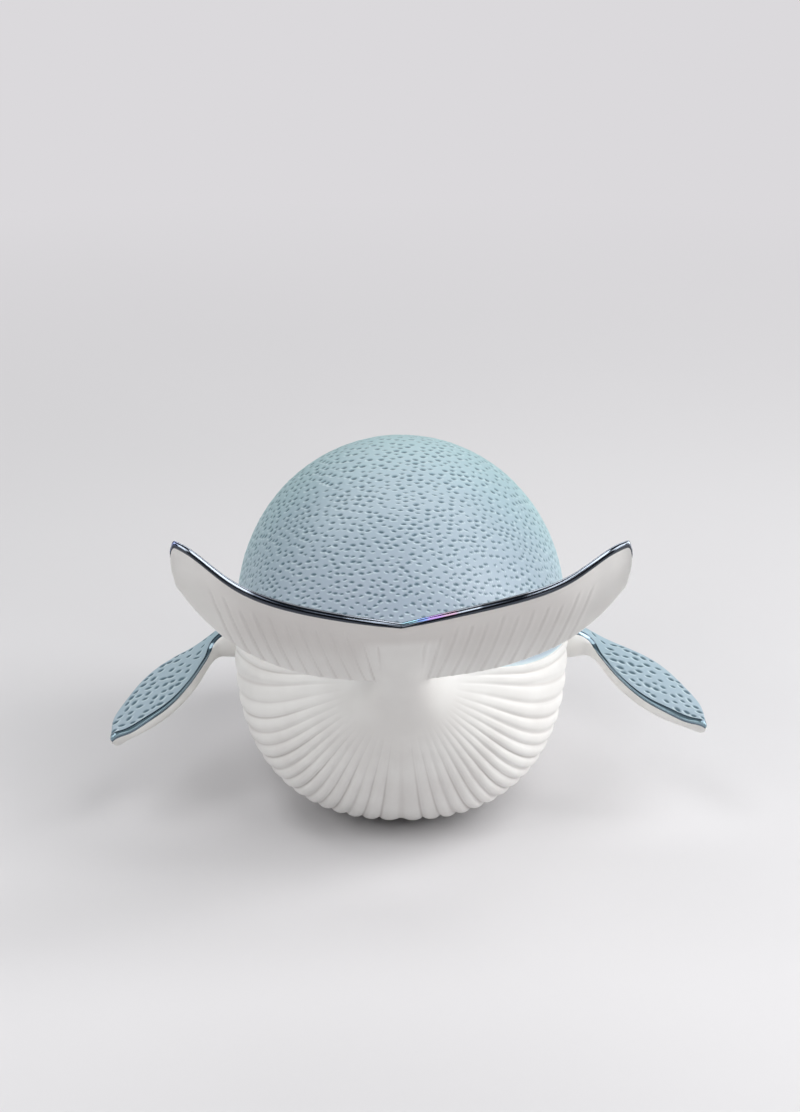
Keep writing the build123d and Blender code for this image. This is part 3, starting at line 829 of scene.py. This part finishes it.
def makeFin(name, node, side, angles, seed):
    # angles: how far back, how far down and how far nose-down the leaf is set
    sweep, droop, pitch = (math.radians(angle) for angle in angles)
    along, across, height = fin["root"]
    root = np.array([side * across * body["width"], (along - body["origin"]) * body["length"],
                     height * body["height"]])
    outward = np.array([side * math.cos(sweep), math.sin(sweep), 0])
    axis = outward * math.cos(droop) - np.array([0, 0, math.sin(droop)])
    chordWay = np.array([-side * math.sin(sweep), math.cos(sweep), 0]) * math.cos(pitch)
    chordWay = chordWay - np.array([0, 0, math.sin(pitch)])
    chordWay = unit(chordWay - axis * (axis @ chordWay))
    upWay = np.cross(axis, chordWay) * side
    sections = []
    eighths = np.radians(np.arange(0, 360, 45))
    for reach in (-fin["neckInside"], fin["neckReach"] * fin["neck"]):
        ring = np.stack([0 * eighths, np.cos(eighths), np.sin(eighths)], 1) * fin["neck"] / 2
        sections.append(root + [side * reach, 0, -fin["neckDrop"] * fin["neck"]] + ring)
    for place, front, rear, thickness in fin["leaf"]:
        middle = root + axis * place * fin["length"]
        corners = [middle + chordWay * (front + share * (rear - front)) * fin["length"]
                   + upWay * rising * thickness * fin["thickness"] for share, rising in fin["section"]]
        sections.append(np.array(corners))
    tipMiddle = sections[-1].mean(0)
    narrower, further = fin["tip"]
    sections.append(tipMiddle + (sections[-1] - tipMiddle) * narrower + axis * further)
    rings = np.array([closedCurve(section, fin["columns"]) for section in sections])
    knots = ringKnots(rings)
    grid = smoothThrough(knots, rings, np.linspace(0, knots[-1], fin["rows"]))
    middles = grid.mean(1, keepdims=True)
    wrapped = np.concatenate([grid[:, -2:], grid, grid[:, :2]], 1)
    normals = gridNormals(wrapped, middles)[:, 2:-2]

    # round the section: 0 at the rim, 4 at the front edge with the top between them, then the underside
    turn = np.arange(fin["columns"]) * len(fin["section"]) / fin["columns"]
    stepLengths = np.linalg.norm(np.diff(wrapped[:, 2:-1], axis=1), axis=-1)
    walked = np.concatenate([np.zeros((fin["rows"], 1)), np.cumsum(stepLengths, 1)], 1)
    overTop, below = walked[:, :-1], walked[:, -1:] - walked[:, :-1]
    share = np.linspace(0, 1, fin["rows"])[:, None]
    frontEdge = walked[:, [int(fin["columns"] * 4.25 / len(fin["section"]))]]
    fromLine = np.where(overTop < below, overTop, -below) - fin["lineRise"] * smoothStep(0.30, 0.08, share)
    stain = np.minimum(frontEdge - overTop, fromLine)
    rows = np.array(fin["lustre"])
    topWidth, sideWidth = (smoothThrough(rows[:, 0], rows[:, k], share[:, 0])[:, None] for k in (1, 2))
    metal = np.where(fromLine > 0, topWidth - fromLine, sideWidth + fromLine)

    points, flatNormals = grid.reshape(-1, 3), normals.reshape(-1, 3)
    toLine, toFront = fin["pitMargin"]
    first, last = fin["pitted"]
    free = (fromLine > toLine) & (frontEdge - overTop > toFront) & (share > first) & (share < last)
    candidates = np.flatnonzero(free.ravel())[::2]
    halfLength, halfWidth, spacing = (np.full(len(points), value) for value in pits["fin"])
    thin = 0.55 + 0.45 * smoothStep(0.2, 0.45, share)
    halfWidth = halfWidth * (thin + 0 * turn).ravel()
    chosen = candidates[scatter(points[candidates], spacing[candidates], seed)]
    lengthwise = np.tile(axis, (len(points), 1))
    longWay = unit(lengthwise - flatNormals * np.sum(flatNormals * lengthwise, 1, keepdims=True))
    sink, pitted = pressPits(points, flatNormals, chosen, longWay, halfLength, halfWidth, seed + 1)
    onTop = (smoothStep(0.1, 0.5, turn) * smoothStep(4.0, 3.7, turn) + 0 * share).ravel()
    points = points - flatNormals * (sink * onTop)[:, None]
    points, faces = loftedShell(points.reshape(grid.shape))
    masks = {"stain": stain.ravel() / mm, "pit": pitted * onTop, "metal": metal.ravel() / mm}
    masks = {mask: np.append(values, [0, 0]) for mask, values in masks.items()}
    return makePiece(name, points, faces, masks, bisqueAndTeal, node, slot="fin_blue")


makeFin("fin_dimpled_left", "pectoral_fin_left", 1, (40.0, 18.7, 10.0), seed=21)
makeFin("fin_dimpled_right", "pectoral_fin_right", -1, (34.0, 15.0, 16.0), seed=31)
print("fins made")

eyeGlaze = glossyGlaze()
for node in ("eye_left", "eye_right"):
    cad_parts[node].material_slots[0].material = eyeGlaze


# Stage, lights and camera

chest = (0, 0, 0.06)
studio = {
    "floor": "#DCDBDD",
    "floorShade": "#DAD9DB",
    "floorRadius": 6.0,
    "backdrop": "#DBD9DC",       # what the camera sees past the lamps and above the floor
    "backdropFrom": (0.40, 1.00),
    "air": "#F6F5F7",            # faint light from all sides, and its strength
    "world": 0.035,
    "worldInGloss": 0.04,        # the same in what the lustre mirrors: a dark room
    # name: place, target, width, length, roll in degrees, watts
    "softboxes": {
        "right_softbox": ((-1.015, 0, 0.60), chest, 0.5, 1.2, 0, 10.2),
        "right_front_softbox": ((-0.722, 0.660, 0.666), chest, 0.6, 0.6, 0, 2.6),
        "right_strip": ((-0.396, 0.357, 1.079), chest, 0.35, 1.05, -15, 3.0),
        "left_softbox": ((1.133, 0, 0.26), chest, 0.4, 1.2, 0, 3.4),
        "left_front_softbox": ((0.722, 0.660, 0.666), chest, 0.6, 0.6, 0, 3.0),
        "left_strip": ((0.396, 0.357, 1.079), chest, 0.35, 1.05, 15, 3.0),
        "backdrop_softbox": ((0, -1.75, 1.3), (0, -1.75, 0), 2.4, 1.4, 0, 24.0),
    },
    "target": (0.4 * mm, 30 * mm, 99 * mm),
    "distance": 1.0,
    "elevation": 20.0,
    "focal": 2736,               # in pixels of an image 1112 high
    "imageHeight": 1112,
    "sensor": 36,
}


def makeFloor():
    # pale matt card, a shade uneven, which the camera sees turn to the backdrop's tone past the lamps
    material, tree = newMaterial("pale_floor_card")
    place = addNode(tree, "ShaderNodeTexCoord", output="Object")
    drift = addNode(tree, "ShaderNodeTexNoise", {"Vector": place, "Scale": 3.0, "Detail": 2.0}, "Fac")
    colour = layCoats(tree, hexColour(studio["floor"]), [((drift, 0.3, 0.7), studio["floorShade"])])
    card = addNode(tree, "ShaderNodeBsdfPrincipled", {"Base Color": colour, "Roughness": 0.9})
    away = addNode(tree, "ShaderNodeVectorMath", [place], "Value", operation="LENGTH")
    away = addNode(tree, "ShaderNodeMapRange", (away, *studio["backdropFrom"]))
    seen = addNode(tree, "ShaderNodeLightPath", output="Is Camera Ray")
    seen = addNode(tree, "ShaderNodeMath", (away, seen), operation="MULTIPLY")
    backdrop = addNode(tree, "ShaderNodeEmission", {"Color": hexColour(studio["backdrop"])})
    shader = addNode(tree, "ShaderNodeMixShader", (seen, card, backdrop))
    addNode(tree, "ShaderNodeOutputMaterial", [shader])
    bpy.ops.mesh.primitive_circle_add(vertices=128, radius=studio["floorRadius"], fill_type="NGON")
    floor = bpy.context.object
    floor.name = "floor"
    floor.data.materials.append(material)


def aim(thing, place, target, roll=0.0):
    thing.location = place
    thing.rotation_mode = "QUATERNION"
    away = Vector(place) - Vector(target)
    steep = abs(away.normalized().z) > 0.6
    sideways = Vector((0, 1, 0) if steep else (0, 0, 1)).cross(away)
    axes = Matrix([sideways.normalized(), away.cross(sideways).normalized(), away.normalized()])
    turned = Quaternion((0, 0, 1), math.radians(roll))
    thing.rotation_quaternion = axes.transposed().to_quaternion() @ turned


def makeLights():
    for name, (place, target, width, length, roll, watts) in studio["softboxes"].items():
        lamp = bpy.data.lights.new(name, "AREA")
        lamp.shape, lamp.size, lamp.size_y, lamp.energy = "RECTANGLE", width, length, watts
        softbox = bpy.data.objects.new(name, lamp)
        bpy.context.scene.collection.objects.link(softbox)
        aim(softbox, place, target, roll)
        softbox.visible_camera = False
    world = bpy.data.worlds.new("studio_air")
    bpy.context.scene.world = world
    world.use_nodes = True
    tree = world.node_tree
    tree.nodes.clear()
    glossy = addNode(tree, "ShaderNodeLightPath", output="Is Glossy Ray")
    strength = addNode(tree, "ShaderNodeMapRange", (glossy, 0, 1, studio["world"], studio["worldInGloss"]))
    air = addNode(tree, "ShaderNodeBackground", {"Color": hexColour(studio["air"]), "Strength": strength})
    seen = addNode(tree, "ShaderNodeLightPath", output="Is Camera Ray")
    backdrop = addNode(tree, "ShaderNodeBackground", {"Color": hexColour(studio["backdrop"])})
    sky = addNode(tree, "ShaderNodeMixShader", (seen, air, backdrop))
    addNode(tree, "ShaderNodeOutputWorld", [sky])


def makeCamera():
    camera = bpy.data.cameras.new("camera")
    camera.sensor_width = studio["sensor"]
    camera.lens = studio["focal"] * camera.sensor_width / studio["imageHeight"]
    stand = bpy.data.objects.new("camera", camera)
    bpy.context.scene.collection.objects.link(stand)
    rising = math.radians(studio["elevation"])
    target = Vector(studio["target"])
    aim(stand, target + studio["distance"] * Vector((0, math.cos(rising), math.sin(rising))), target)
    bpy.context.scene.camera = stand


makeFloor()
makeLights()
makeCamera()
bpy.context.scene.view_settings.view_transform = "Standard"
print("studio ready")
